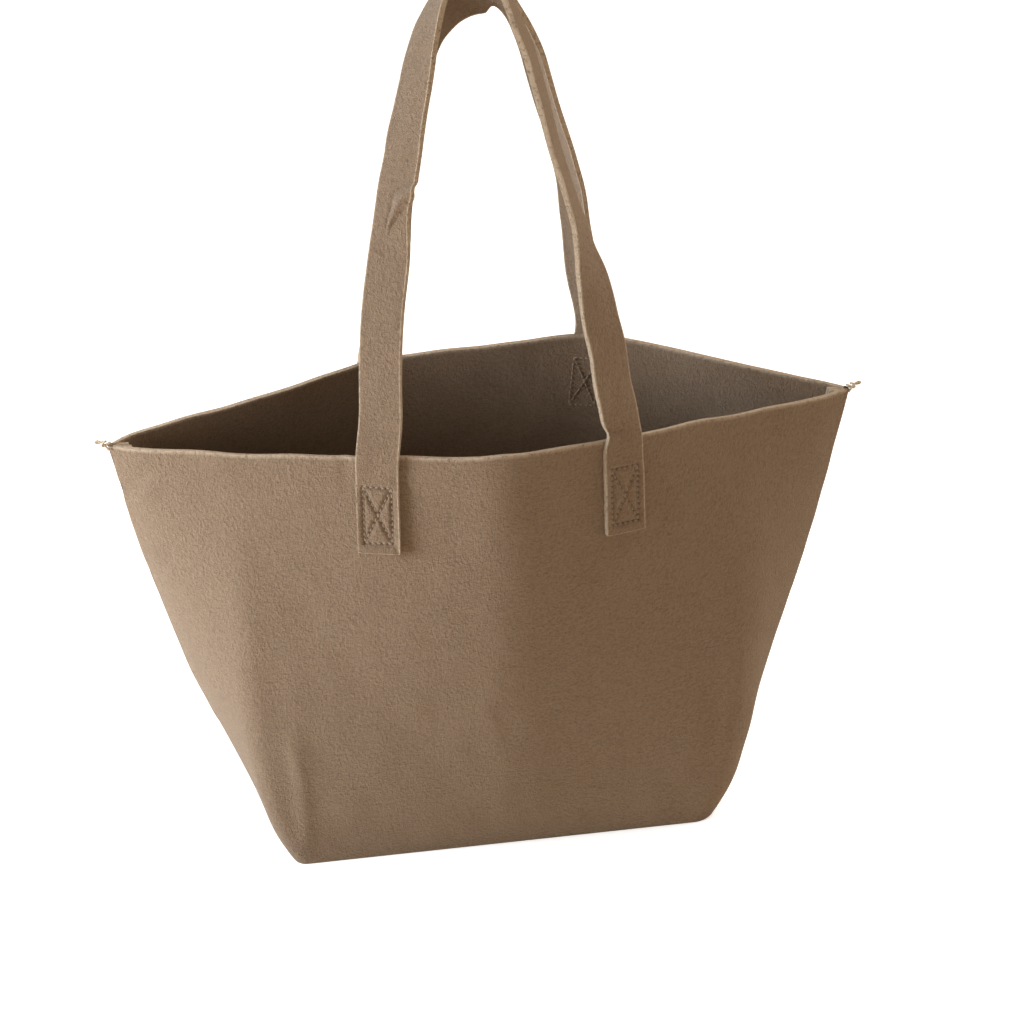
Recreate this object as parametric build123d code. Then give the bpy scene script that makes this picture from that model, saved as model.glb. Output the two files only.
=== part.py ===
"""Felt grow bag with two swinging strap handles.

Frame: +Z up, +X along the mouth, the front faces -Y, and the origin is the middle of the underside.
Units are millimetres. One felt panel wraps the front and one the back. They meet at a side seam on
each end, and a felt base with a turned-up edge closes the bottom.
"""
from build123d import *
from functools import lru_cache
import math
import os

# ---- driving dimensions -------------------------------------------------------------------------
FELT = 3.5                    # thickness of every felt piece
RIM_HEIGHT = 327.0            # top edge in the middle of a panel
CORNER_HEIGHT = 312.0         # top edge at the side seams
MOUTH_HALF_WIDTH = 252.0      # side seam to centre at the corner height
MOUTH_FRONT_DEPTH = 86.0      # the front rim comes forward to one soft ridge
MOUTH_BACK_DEPTH = 74.0       # the back rim has a straight middle between two soft kinks
BACK_KINK = 78.0              # half the length of that straight middle
BLUNT_LENGTH = 14.0           # the mouth corners are blunt where the seam allowances hold them apart
BLUNT_DEPTH = 10.5
BASE_HALF_WIDTH = 158.0
BASE_HALF_DEPTH = 82.0
BASE_CORNER_RADIUS = 22.0
SIDE_BULGE = 24.0             # how far the ends belly out low down
FRONT_BULGE = 8.0
BACK_BULGE = 11.0
BULGE_RISE = 0.16             # the bulge grows over about this share of the height
BULGE_FALL = 1.8              # and fades towards the rim with this power
ALLOWANCE = 9.0               # width of the felt turned inside at each seam

STRAP_WIDTH = 28.0
STRAP_X = 80.0                # middle of each handle end from the centre
END_LENGTH = 66.5             # from the rim down to the cut end of the strap
STITCH_TOP = 19.5             # from the rim down to the top row of the stitched box
STITCH_WIDTH = 19.0
STITCH_HEIGHT = 40.0
STITCH_PITCH = 3.85
STITCH_GAP = 0.9
THREAD = 0.9
HINGE_ABOVE_STITCH = 8.0      # the strap folds just above its stitched box
STRAP_START_GAP = 0.7         # between the sewn end and the part of the strap that swings
STRAP_CLEARANCE = 0.8         # between the swinging strap and the panel behind it
END_GAP = 0.55                # between a sewn end and the panel it follows
LEAN_START = 7.0              # the loops start to lean inwards this far above the rim
HINGE_PROUD = 0.6             # the fold line lies this far outside the strap's outermost corner
FRONT_LEAN = 17.5             # degrees each loop leans inwards at rest
BACK_LEAN = 6.0
TWIST_END = 0.32              # share of the strap's length over which it turns from flat to upright
FOOT_SHARES = [0.0, 0.018, 0.037, 0.05]
END_POINTS = 3                # points on each side of a strap's middle that follow the panel
LOOP_STATIONS = 34
# one leg of a loop: distance from the centre, height above the fold line
LEG = [(80.0, 0.0), (79.0, 40.0), (70.0, 95.0), (58.0, 150.0), (48.0, 195.0), (38.0, 235.0), (24.0, 272.0)]
LOOP_HEIGHT = 288.0

BASE_EDGE = 12.0              # height of the base sheet's turned-up edge
BASE_GAP = 0.15               # between the base sheet's edge and the panels around it
BASE_SEAM_HEIGHT = 7.0
NOTCH_GAP = 0.2               # room left beside the side allowances where the base's edge is notched
NOTCH_BACK = 1.0
LONG_EDGE_START = 0.215       # shares of half the underside's outline between which the seam threads run
SHORT_EDGE_START = 0.03
SHORT_EDGE_END = 0.12
THREAD_STATIONS = 12
THREAD_IN = 0.8               # the side seam thread lies this share of the allowance inside
SEAM_START = 2.0              # it starts this far above the base's edge
SEAM_END = 6.0                # and stops this far below the mouth's corner
THREAD_GAP = 0.45             # between the base seam's thread and the felt it lies on
KNOT = 3.2                    # thread knot at the top of each side seam
KNOT_GAP = 0.6
KNOT_BELOW_CORNER = 4.0
ALLOWANCE_SHARE = 0.97        # an allowance is pressed a little thinner than the rest of the felt
CORNER_BEND = 8.0             # radius of the mouth's bends beside its blunt corners
RIDGE_BEND = 60.0             # radius of the front ridge and of the back's two kinks
CROSS_START = 0.86            # the diagonals run between these shares of the stitched box
CROSS_END = 0.07
LOFT_HEIGHTS = [0.0, 0.04, 0.10, 0.20, 0.36, 0.58, 0.80, 1.0]
CURVE_SHARES = [0.0, 0.035, 0.085, 0.13, 0.17, 0.21, 0.26, 0.31, 0.345, 0.375, 0.42, 0.47, 0.5]
SMALL = 0.002                 # step for slopes, as a share of an outline
HALVINGS = 16
FAR = 500.0                   # larger than the bag in every direction

TOP_HALF_WIDTH = BASE_HALF_WIDTH + (MOUTH_HALF_WIDTH - BASE_HALF_WIDTH) * RIM_HEIGHT / CORNER_HEIGHT
FRONT, BACK = -1, 1
LEFT, RIGHT = -1, 1
SIDE_NAME = {FRONT: "front", BACK: "back"}
HAND_NAME = {LEFT: "left", RIGHT: "right"}


# ---- the bag's outline at any height ------------------------------------------------------------
def base_curve():
    """Half of the underside's rounded rectangle, from the left seam to the right one."""
    w, d = BASE_HALF_WIDTH, BASE_HALF_DEPTH
    return FilletPolyline((-w, 0), (-w, d), (w, d), (w, 0), radius=BASE_CORNER_RADIUS)


def mouth_curve(side):
    """Half of the mouth, from the left corner to the right one."""
    a = TOP_HALF_WIDTH
    ridge = [(0, MOUTH_FRONT_DEPTH)]
    if side == BACK:
        ridge = [(-BACK_KINK, MOUTH_BACK_DEPTH), (BACK_KINK, MOUTH_BACK_DEPTH)]
    start = [(-a, 0), (-a + BLUNT_LENGTH, BLUNT_DEPTH)]
    end = [(a - BLUNT_LENGTH, BLUNT_DEPTH), (a, 0)]
    radii = [CORNER_BEND] + [RIDGE_BEND] * len(ridge) + [CORNER_BEND]
    return FilletPolyline(*start, *ridge, *end, radius=radii)


BASE_CURVE = base_curve()
MOUTH_CURVE = {side: mouth_curve(side) for side in (FRONT, BACK)}


def bulge_share(t):
    """How far the walls belly out at a share t of the height; it peaks at about 0.75."""
    return (1 - math.exp(-t / BULGE_RISE)) * (1 - t ** BULGE_FALL)


BULGE_PEAK = max(bulge_share(step / 100) for step in range(100))


@lru_cache(maxsize=None)
def outline_ends(side, share):
    """The same share of the underside's outline and of the mouth's."""
    return BASE_CURVE @ share, MOUTH_CURVE[side] @ share


def outer_point(side, share, z):
    """Point of the outer face: share 0 is the left seam and 1 the right one."""
    t = z / RIM_HEIGHT
    low, high = outline_ends(side, share)
    bulge = bulge_share(t) / BULGE_PEAK
    lean = math.cos(math.pi * share)
    x = low.X + (high.X - low.X) * t - SIDE_BULGE * bulge * lean * abs(lean)
    depth = BACK_BULGE if side == BACK else FRONT_BULGE
    y = low.Y + (high.Y - low.Y) * t + depth * bulge * math.sin(math.pi * share)
    return x, side * y


def outward(side, share, z):
    """Unit normal of the outline, in plan."""
    before = outer_point(side, max(share - SMALL, 0), z)
    after = outer_point(side, min(share + SMALL, 1), z)
    dx, dy = after[0] - before[0], after[1] - before[1]
    length = math.hypot(dx, dy)
    return -side * dy / length, side * dx / length


def inset_point(side, share, z, inset):
    """Point of a surface that lies inset inside the outer face."""
    x, y = outer_point(side, share, z)
    nx, ny = outward(side, share, z)
    return x - inset * nx, y - inset * ny


def seam_x(z):
    return -outer_point(FRONT, 0, z)[0]


def curve_shares():
    """Shares along an outline, closer together at the bends, the same on both halves."""
    return CURVE_SHARES + [1 - s for s in reversed(CURVE_SHARES[:-1])]


def inner_end(z, inset, half_gap):
    """Where an inset surface comes within half_gap of the seam plane, at the left seam."""
    nx, ny = outward(FRONT, 0, z)
    slope = abs(ny / nx)
    return -seam_x(z) + inset / abs(nx) + half_gap * slope


def to_z(points, z):
    return [Vector(x, y, z) for x, y in points]


def panel_section(side, z):
    """One level of a panel: the wrapped sheet and its two allowances turned inside at the seams."""
    outer = [outer_point(side, s, z) for s in curve_shares()]
    half = FELT * ALLOWANCE_SHARE
    start = inner_end(z, FELT, half)
    inner = [inset_point(side, s, z, FELT) for s in curve_shares()[1:-1]]
    inner = [(start, side * half)] + inner + [(-start, side * half)]
    tip = inner_end(z, FELT, 0) + ALLOWANCE
    left = [outer[0], (tip, 0), (tip, side * half), inner[0]]
    right = [(-x, y) for x, y in left]
    edges = [Spline(to_z(outer, z)), Spline(to_z(inner, z))]
    for chain in (left, right):
        corners = to_z(chain, z)
        edges += [Line(a, b) for a, b in zip(corners, corners[1:])]
    return make_face(edges)


def rim_height(side, x):
    """Height of the top edge at a distance x from the centre."""
    flat = BACK_KINK if side == BACK else 0
    share = max(abs(x) - flat, 0) / (MOUTH_HALF_WIDTH - flat)
    return RIM_HEIGHT - (RIM_HEIGHT - CORNER_HEIGHT) * share


def rim_cutter(side):
    """Everything above the top edge of one panel."""
    reach, top = FAR, FAR
    low = rim_height(side, reach)
    middle = [(0, RIM_HEIGHT)]
    if side == BACK:
        middle = [(-BACK_KINK, RIM_HEIGHT), (BACK_KINK, RIM_HEIGHT)]
    line = [(-reach, low)] + middle + [(reach, low)]
    profile = Plane.XZ * make_face(Polyline(*line, (reach, top), (-reach, top), close=True))
    return extrude(profile, FAR, both=True)


def panel(side):
    sheet = loft([panel_section(side, t * RIM_HEIGHT) for t in LOFT_HEIGHTS])
    return sheet - rim_cutter(side)


# ---- base ---------------------------------------------------------------------------------------
def base_section(z, inset):
    edges = []
    for side in (FRONT, BACK):
        points = [inset_point(side, s, z, inset) for s in curve_shares()[1:-1]]
        end = inner_end(z, inset, 0)
        edges.append(Spline(to_z([(end, 0)] + points + [(-end, 0)], z)))
    return make_face(edges)


def base_panel():
    """Flat sheet with its edge turned up inside the panels, notched for the side allowances."""
    heights = [t * RIM_HEIGHT for t in LOFT_HEIGHTS[:4]]
    block = loft([base_section(z, FELT + BASE_GAP) for z in heights])
    hollow = loft([base_section(z, 2 * FELT + BASE_GAP) for z in heights])
    everything = Box(FAR, FAR, FAR, align=(Align.CENTER, Align.CENTER, Align.MIN))
    tray = block - Pos(0, 0, BASE_EDGE) * everything - (hollow & Pos(0, 0, FELT) * everything)
    reach = BASE_HALF_WIDTH - FELT - ALLOWANCE - NOTCH_BACK
    notch = Box(FAR, 2 * (FELT + NOTCH_GAP), FAR, align=(Align.MIN, Align.CENTER, Align.CENTER))
    right_notch = Pos(reach, 0, 0) * notch
    return tray - right_notch - Rot(0, 0, 180) * right_notch


# ---- handle ends --------------------------------------------------------------------------------
def share_at_x(side, x, z):
    """Share of the outline at a given x, found by halving."""
    low, high = 0.0, 1.0
    for _ in range(HALVINGS):
        middle = (low + high) / 2
        if outer_point(side, middle, z)[0] < x:
            low = middle
        else:
            high = middle
    return low


def face_at_x(side, x, z, proud=0.0):
    return inset_point(side, share_at_x(side, x, z), z, -proud)


def end_top(side):
    return rim_height(side, STRAP_X) - STITCH_TOP + HINGE_ABOVE_STITCH - STRAP_START_GAP


def end_bottom(side):
    return rim_height(side, STRAP_X) - END_LENGTH


def across_strap(side, hand, z, across):
    """The x at a distance across the strap, which follows the panel's slope in plan."""
    nx, ny = outward(side, share_at_x(side, hand * STRAP_X, z), z)
    return hand * STRAP_X + across * abs(ny)


def end_section(side, hand, z):
    """One level of a sewn end: a felt strip bent to the panel it lies on."""
    inner, outer = [], []
    for i in range(-END_POINTS, END_POINTS + 1):
        x = across_strap(side, hand, z, i * STRAP_WIDTH / 2 / END_POINTS)
        inner.append(face_at_x(side, x, z, END_GAP))
        outer.append(face_at_x(side, x, z, END_GAP + FELT))
    edges = [Spline(to_z(inner, z)), Spline(to_z(outer, z))]
    for i in (0, -1):
        edges.append(Line(*to_z([inner[i], outer[i]], z)))
    return make_face(edges)


def handle_end(side, hand):
    """The sewn end of a strap, lying on the panel."""
    low, high = end_bottom(side), end_top(side)
    return loft([end_section(side, hand, z) for z in (low, (low + high) / 2, high)], ruled=True)


def on_end(side, hand, across, up):
    """Point of a sewn end's outer face, measured from the middle of its stitched box."""
    z = rim_height(side, STRAP_X) - STITCH_TOP - STITCH_HEIGHT / 2 + up
    x = across_strap(side, hand, z, across)
    return Vector(*face_at_x(side, x, z, END_GAP + FELT), z)


def stitch(side, hand, a, b):
    """One visible stitch between two points of a sewn end, half sunk in the felt."""
    start, end = on_end(side, hand, *a), on_end(side, hand, *b)
    middle = (start + end) / 2
    nx, ny = outward(side, share_at_x(side, middle.X, middle.Z), middle.Z)
    place = Plane(origin=middle, x_dir=end - start, z_dir=(nx, ny, 0))
    return place * Box((end - start).length, THREAD, THREAD)


def stitch_row(side, hand, a, b):
    """Stitches along a straight row, with a small gap between neighbours."""
    ax, ay = a
    bx, by = b
    length = math.hypot(bx - ax, by - ay)
    count = max(round(length / STITCH_PITCH), 1)
    stitches = []
    for i in range(count):
        low = (i + STITCH_GAP / STITCH_PITCH / 2) / count
        high = (i + 1 - STITCH_GAP / STITCH_PITCH / 2) / count
        start = (ax + (bx - ax) * low, ay + (by - ay) * low)
        end = (ax + (bx - ax) * high, ay + (by - ay) * high)
        stitches.append(stitch(side, hand, start, end))
    return stitches


def box_stitching(side, hand):
    """A stitched rectangle and its two diagonals, which stop short of the middle."""
    w, h = STITCH_WIDTH / 2, STITCH_HEIGHT / 2
    corners = [(-w, -h), (w, -h), (w, h), (-w, h)]
    stitches = []
    for a, b in zip(corners, corners[1:] + corners[:1]):
        stitches += stitch_row(side, hand, a, b)
    for x, y in corners:
        far, near = (x * CROSS_START, y * CROSS_START), (x * CROSS_END, y * CROSS_END)
        stitches += stitch_row(side, hand, far, near)
    return Compound(children=stitches)


# ---- swinging loops -----------------------------------------------------------------------------
@lru_cache(maxsize=None)
def hinge_height(side):
    return rim_height(side, STRAP_X) - STITCH_TOP + HINGE_ABOVE_STITCH


@lru_cache(maxsize=None)
def foot_corners(side, proud):
    """The strap's two long edges at the fold line, lying straight and proud of the panel."""
    z = hinge_height(side)
    across = [i * STRAP_WIDTH / 2 / END_POINTS for i in range(-END_POINTS, END_POINTS + 1)]
    face = [Vector(*face_at_x(side, across_strap(side, RIGHT, z, a), z)) for a in across]
    along = (face[-1] - face[0]).normalized()
    normal = Vector(-along.Y, along.X) * side
    lift = max((point - face[0]).dot(normal) for point in face) + proud
    return face[0] + normal * lift, face[-1] + normal * lift


def foot_angle(side):
    """How far the strap's face is turned from straight outwards to the nearer end, at its foot."""
    inner, outer = foot_corners(side, 0)
    return math.atan2(abs(inner.Y) - abs(outer.Y), outer.X - inner.X)


def hinge_y(side):
    """The fold line runs along X, just outside the outermost corner of the strap."""
    inner, outer = foot_corners(side, STRAP_CLEARANCE + FELT)
    return inner.Y + side * HINGE_PROUD


def loop_path():
    """Middle line of a loop, in its own upright plane."""
    left = [(-x, h) for x, h in LEG]
    right = [(x, h) for x, h in reversed(LEG)]
    return Spline(*left, (0, LOOP_HEIGHT), *right, tangents=[(0, 1), (0, -1)])


def loop_y(side, height):
    """Where the loop's middle line lies: upright past the rim, then leaning inwards."""
    z = hinge_height(side)
    inner, outer = foot_corners(side, STRAP_CLEARANCE + FELT / 2)
    foot = (inner.Y + outer.Y) / 2
    if height <= LEAN_START + rim_height(side, STRAP_X) - z:
        return foot
    lean = FRONT_LEAN if side == FRONT else BACK_LEAN
    above = height - LEAN_START - rim_height(side, STRAP_X) + z
    return foot - side * above * math.tan(math.radians(lean))


def loop_point(side, path, share):
    flat = path @ share
    return Vector(flat.X, loop_y(side, flat.Y), hinge_height(side) + flat.Y)


def loop_section(side, path, share):
    """Strap section at a share of the loop: flat on the panel at the ends, edge-on at the top."""
    here = loop_point(side, path, share)
    along = loop_point(side, path, min(share + SMALL, 1)) - loop_point(side, path, max(share - SMALL, 0))
    along = along.normalized()
    if share in (0, 1):
        along = Vector(0, 0, round(along.Z))
    turn = min(min(share, 1 - share) / TWIST_END, 1)
    start = foot_angle(side)
    angle = start + (math.pi / 2 - start) * turn * turn * (3 - 2 * turn)
    out = Vector(0, side, 0)
    out = (out - along * out.dot(along)).normalized()
    across = along.cross(out) * -side
    normal = out * math.cos(angle) - across * math.sin(angle)
    width = along.cross(normal).normalized()
    return Plane(origin=here, x_dir=width, z_dir=along) * Rectangle(STRAP_WIDTH, FELT)


def handle_loop(side):
    path = loop_path()
    first, last = FOOT_SHARES[-1], 1 - FOOT_SHARES[-1]
    middle = [first + (last - first) * i / LOOP_STATIONS for i in range(1, LOOP_STATIONS)]
    shares = FOOT_SHARES + middle + [1 - s for s in reversed(FOOT_SHARES)]
    return loft([loop_section(side, path, s) for s in shares], ruled=True)


# ---- threads ------------------------------------------------------------------------------------
def side_seam_thread(hand):
    """Continuous line of the seam, lying on the front allowance inside the bag."""
    sections = []
    for t in LOFT_HEIGHTS:
        z = BASE_EDGE + SEAM_START + t * (CORNER_HEIGHT - SEAM_END - BASE_EDGE - SEAM_START)
        x = -hand * (inner_end(z, FELT, 0) + ALLOWANCE * THREAD_IN)
        y = -FELT * ALLOWANCE_SHARE - THREAD_GAP - THREAD / 2
        level = Plane(origin=(x, y, z), x_dir=(1, 0, 0), z_dir=(0, 0, 1))
        sections.append(level * Rectangle(THREAD, THREAD))
    return loft(sections, ruled=True)


def thread_along(side, first, last):
    """Thread line on the inner face of the base sheet's turned-up edge, between two shares."""
    sections = []
    for i in range(THREAD_STATIONS + 1):
        share = first + (last - first) * i / THREAD_STATIONS
        nx, ny = outward(side, share, BASE_SEAM_HEIGHT)
        inset = 2 * FELT + BASE_GAP + THREAD_GAP + THREAD / 2
        x, y = inset_point(side, share, BASE_SEAM_HEIGHT, inset)
        across = Plane(origin=(x, y, BASE_SEAM_HEIGHT), x_dir=(nx, ny, 0), z_dir=(-side * ny, side * nx, 0))
        sections.append(across * Rectangle(THREAD, THREAD))
    return loft(sections, ruled=True)


def base_seam_thread(name):
    """Line of the base seam along one edge; at the ends of the bag the side allowance divides it."""
    if name in ("front", "back"):
        side = FRONT if name == "front" else BACK
        return thread_along(side, LONG_EDGE_START, 1 - LONG_EDGE_START)
    first, last = (SHORT_EDGE_START, SHORT_EDGE_END)
    if name == "right":
        first, last = 1 - last, 1 - first
    return Compound(children=[thread_along(side, first, last) for side in (FRONT, BACK)])


def seam_knot(hand):
    """Back-tack knot on the top corner of a side seam."""
    z = CORNER_HEIGHT - KNOT_BELOW_CORNER
    return Pos(hand * (seam_x(z) + KNOT / 2 + KNOT_GAP), 0, z) * Sphere(KNOT / 2)


# ---- all nodes ----------------------------------------------------------------------------------
def all_nodes():
    nodes = {"base_panel": base_panel()}
    for side in (FRONT, BACK):
        place = SIDE_NAME[side]
        nodes[f"{place}_panel"] = panel(side)
        nodes[f"{place}_handle_loop"] = handle_loop(side)
        nodes[f"base_seam_thread_{place}"] = base_seam_thread(place)
        for hand in (LEFT, RIGHT):
            corner = f"{place}_{HAND_NAME[hand]}"
            nodes[f"{corner}_handle_end"] = handle_end(side, hand)
            nodes[f"{corner}_box_stitching"] = box_stitching(side, hand)
    for hand in (LEFT, RIGHT):
        nodes[f"{HAND_NAME[hand]}_side_seam_thread"] = side_seam_thread(hand)
        nodes[f"{HAND_NAME[hand]}_seam_knot"] = seam_knot(hand)
        nodes[f"base_seam_thread_{HAND_NAME[hand]}"] = base_seam_thread(HAND_NAME[hand])
    return nodes


os.makedirs("parts", exist_ok=True)
for node_name, shape in all_nodes().items():
    export_step(shape, f"parts/{node_name}.step")
for loop_side in (FRONT, BACK):
    fold_line = round(hinge_y(loop_side), 2), round(hinge_height(loop_side), 2)
    print(SIDE_NAME[loop_side], "fold line at y and z", fold_line)
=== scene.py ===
"""Looks of the felt grow bag: two wrapped felt panels, a felt base, two strap handles and their thread.

Lengths are metres in the CAD frame: +X along the mouth, the front faces -Y, +Z up.
"""
import math

import bmesh
import bpy
import numpy as np
from mathutils import Matrix, Vector


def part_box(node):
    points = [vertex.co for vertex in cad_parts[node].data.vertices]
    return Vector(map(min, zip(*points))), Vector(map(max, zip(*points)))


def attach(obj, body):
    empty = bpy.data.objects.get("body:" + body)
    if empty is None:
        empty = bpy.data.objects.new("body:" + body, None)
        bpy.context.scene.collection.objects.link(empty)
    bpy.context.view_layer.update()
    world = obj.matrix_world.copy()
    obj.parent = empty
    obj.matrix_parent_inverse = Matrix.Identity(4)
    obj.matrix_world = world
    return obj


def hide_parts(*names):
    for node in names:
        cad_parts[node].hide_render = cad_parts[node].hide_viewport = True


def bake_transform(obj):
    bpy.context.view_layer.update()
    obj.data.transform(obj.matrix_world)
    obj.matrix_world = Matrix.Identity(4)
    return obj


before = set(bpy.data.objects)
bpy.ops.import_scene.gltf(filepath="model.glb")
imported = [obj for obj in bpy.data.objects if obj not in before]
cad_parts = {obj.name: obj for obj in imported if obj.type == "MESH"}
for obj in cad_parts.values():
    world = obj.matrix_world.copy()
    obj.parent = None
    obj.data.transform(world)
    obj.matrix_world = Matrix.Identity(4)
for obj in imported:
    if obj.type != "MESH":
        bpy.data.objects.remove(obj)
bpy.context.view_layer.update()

MM = 0.001
LEFT, RIGHT = -1, 1
FRONT, BACK = -1, 1
PLACE = {FRONT: "front", BACK: "back"}
HAND = {LEFT: "left", RIGHT: "right"}

# ---- sizes, from the frame where it states them ---------------------------------------------------
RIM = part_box("front_panel")[1].z
END_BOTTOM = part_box("front_left_handle_end")[0].z

CORNER_DROP = 15 * MM             # the top edge at the side seams lies this much below its middle
MOUTH_HALF = 253 * MM
BACK_KINK = 78 * MM               # half the length of the back rim's straight middle
BASE_HALF_X = 158 * MM
BASE_HALF_Y = 82 * MM
SIDE_BULGE = 24 * MM              # how far each wall bellies out low down
FRONT_BULGE = 8 * MM
BACK_BULGE = 11 * MM
BULGE_RISE = 0.16                 # share of the height over which the belly grows
BULGE_FALL = 1.8                  # power with which it fades towards the rim
FELT = 3.3 * MM
PRESSED_FELT = FELT * 0.93        # felt squeezed together in the side seams
ALLOWANCE = 9 * MM                # width of the felt turned inside at each side seam
FOLD_GAP = 0.15 * MM              # left between the two allowances of a seam
BLUNTEST = 0.55                   # least sideways share of a wall's normal at its seam
STRAP_WIDTH = 28 * MM
STRAP_HALF = STRAP_WIDTH / 2
STRAP_THICK = 3.5 * MM
STRAP_X = 80 * MM                 # middle of each sewn end from the centre
STITCH_LOW = END_BOTTOM + 7 * MM
STITCH_HIGH = STITCH_LOW + 40 * MM
STITCH_HALF = 9.4 * MM
STITCH_PITCH = 3.9 * MM
STITCH_SHARE = 0.84               # share of the pitch that each stitch covers
BOX_MIDDLE = (STITCH_LOW + STITCH_HIGH - 2 * END_BOTTOM) / 2      # from a strap's cut end
BOX_HALF = (STITCH_HIGH - STITCH_LOW) / 2
THREAD = 0.95 * MM
BASE_EDGE = 12 * MM               # height of the base sheet's turned-up edge
BASE_GAP = 0.2 * MM               # between that edge and the panels
BASE_SEAM_HEIGHT = 7 * MM
LONG_SEAM = (0.2, 0.8)            # shares of a panel's width over which the base seam's threads run
SHORT_SEAM = {LEFT: (0.03, 0.17), RIGHT: (0.83, 0.97)}


# ---- small tools --------------------------------------------------------------------------------
def mesh_piece(name, vertices, faces, material, smooth=True):
    mesh = bpy.data.meshes.new(name)
    mesh.from_pydata([tuple(v) for v in vertices], [], [tuple(int(i) for i in f) for f in faces])
    mesh.polygons.foreach_set("use_smooth", [smooth] * len(mesh.polygons))
    mesh.materials.append(material)
    mesh.update()
    piece = bpy.data.objects.new(name, mesh)
    bpy.context.scene.collection.objects.link(piece)
    return piece


def mark(piece, name, values):
    """Stores one number per point, which the felt's material reads."""
    marks = piece.data.attributes.new(name, "FLOAT", "POINT")
    marks.data.foreach_set("value", values.astype(np.float32))


def grid_faces(rows, columns, offset=0, flip=False):
    """Quads of a grid whose points are numbered row by row."""
    row, column = np.meshgrid(np.arange(rows - 1), np.arange(columns - 1), indexing="ij")
    a = offset + row * columns + column
    quads = np.stack([a, a + 1, a + columns + 1, a + columns], -1).reshape(-1, 4)
    return quads[:, ::-1] if flip else quads


def unit(v):
    return v / np.maximum(np.linalg.norm(v, axis=-1, keepdims=True), 1e-12)


def smooth_steps(values, passes):
    """Softens a list of points without moving its ends."""
    values = np.array(values, float)
    for _ in range(passes):
        values[1:-1] = (values[:-2] + 2 * values[1:-1] + values[2:]) / 4
    return values


def along_line(points, shares):
    """Points at given shares of a polyline's length in plan."""
    points = np.array(points, float)
    steps = np.linalg.norm(np.diff(points[:, :2], axis=0), axis=1)
    length = np.concatenate([[0], np.cumsum(steps)])
    return np.stack([np.interp(shares * length[-1], length, points[:, k]) for k in range(points.shape[1])], 1)


def soft_noise(seed, x, y, size):
    """Smooth noise of about -1 to 1 whose bumps are about size across."""
    local = np.random.default_rng(seed)
    total = 0
    for _ in range(9):
        turn = local.uniform(0, 2 * math.pi)
        wave = local.uniform(0.6, 1.5) / size
        phase = local.uniform(0, 2 * math.pi)
        total = total + np.sin((x * math.cos(turn) + y * math.sin(turn)) * wave * 2 * math.pi + phase)
    return total / 4.0


def bump_at(x, z, centre_x, centre_z, wide, high, tilt=0.0):
    """A soft oval hill of height 1."""
    c, s = math.cos(math.radians(tilt)), math.sin(math.radians(tilt))
    dx, dz = x - centre_x, z - centre_z
    return np.exp(-((dx * c + dz * s) / wide) ** 2 - ((-dx * s + dz * c) / high) ** 2)


# ---- camera -------------------------------------------------------------------------------------
CAMERA_PLACE = (-0.1229, -1.0073, 0.8659)
CAMERA_SWING = -7.838             # degrees to the right of straight ahead
CAMERA_DOWN = 31.873              # degrees below level
CAMERA_ROLL = -0.715
LENS = 59.85
SENSOR = 36.0


def turn_about(axis, degrees):
    return Matrix.Rotation(math.radians(degrees), 4, axis)


def make_camera():
    data = bpy.data.cameras.new("camera")
    data.sensor_width = SENSOR
    data.lens = LENS
    camera = bpy.data.objects.new("camera", data)
    bpy.context.scene.collection.objects.link(camera)
    turn = turn_about("Z", CAMERA_SWING) @ turn_about("X", 90 - CAMERA_DOWN)
    camera.matrix_world = Matrix.Translation(CAMERA_PLACE) @ turn @ turn_about("Z", CAMERA_ROLL)
    bpy.context.scene.camera = camera


make_camera()


# ---- materials ----------------------------------------------------------------------------------
def node(tree, kind, **inputs):
    made = tree.nodes.new(kind)
    for key, value in inputs.items():
        made.inputs[key.replace("_", " ")].default_value = value
    return made


def noise(tree, coordinates, scale, detail, roughness, distortion=0.0):
    made = node(tree, "ShaderNodeTexNoise", Scale=scale, Detail=detail, Roughness=roughness,
                Distortion=distortion)
    tree.links.new(coordinates, made.inputs["Vector"])
    return made.outputs["Fac"]


def math_node(tree, operation, a, b):
    made = tree.nodes.new("ShaderNodeMath")
    made.operation = operation
    for socket, value in zip(made.inputs, (a, b)):
        if isinstance(value, (int, float)):
            socket.default_value = value
        else:
            tree.links.new(value, socket)
    return made.outputs[0]


def mix_colour(tree, share, a, b):
    made = tree.nodes.new("ShaderNodeMix")
    made.data_type = "RGBA"
    for socket, value in ((made.inputs["Factor"], share), (made.inputs["A"], a), (made.inputs["B"], b)):
        if isinstance(value, (int, float)):
            socket.default_value = value
        elif isinstance(value, tuple):
            socket.default_value = (*value, 1)
        else:
            tree.links.new(value, socket)
    return made.outputs["Result"]


def stretched(tree, coordinates, rotation, scale):
    made = tree.nodes.new("ShaderNodeMapping")
    made.inputs["Rotation"].default_value = rotation
    made.inputs["Scale"].default_value = scale
    tree.links.new(coordinates, made.inputs["Vector"])
    return made.outputs["Vector"]


def ramp(tree, value, low, high):
    made = node(tree, "ShaderNodeMapRange", From_Min=low, From_Max=high)
    made.clamp = True
    tree.links.new(value, made.inputs["Value"])
    return made.outputs["Result"]


HOLE_SHADE_TONE = 0.22                  # painted shade in a needle hole: its brightness, as a share of the felt's darkest colour


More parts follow.
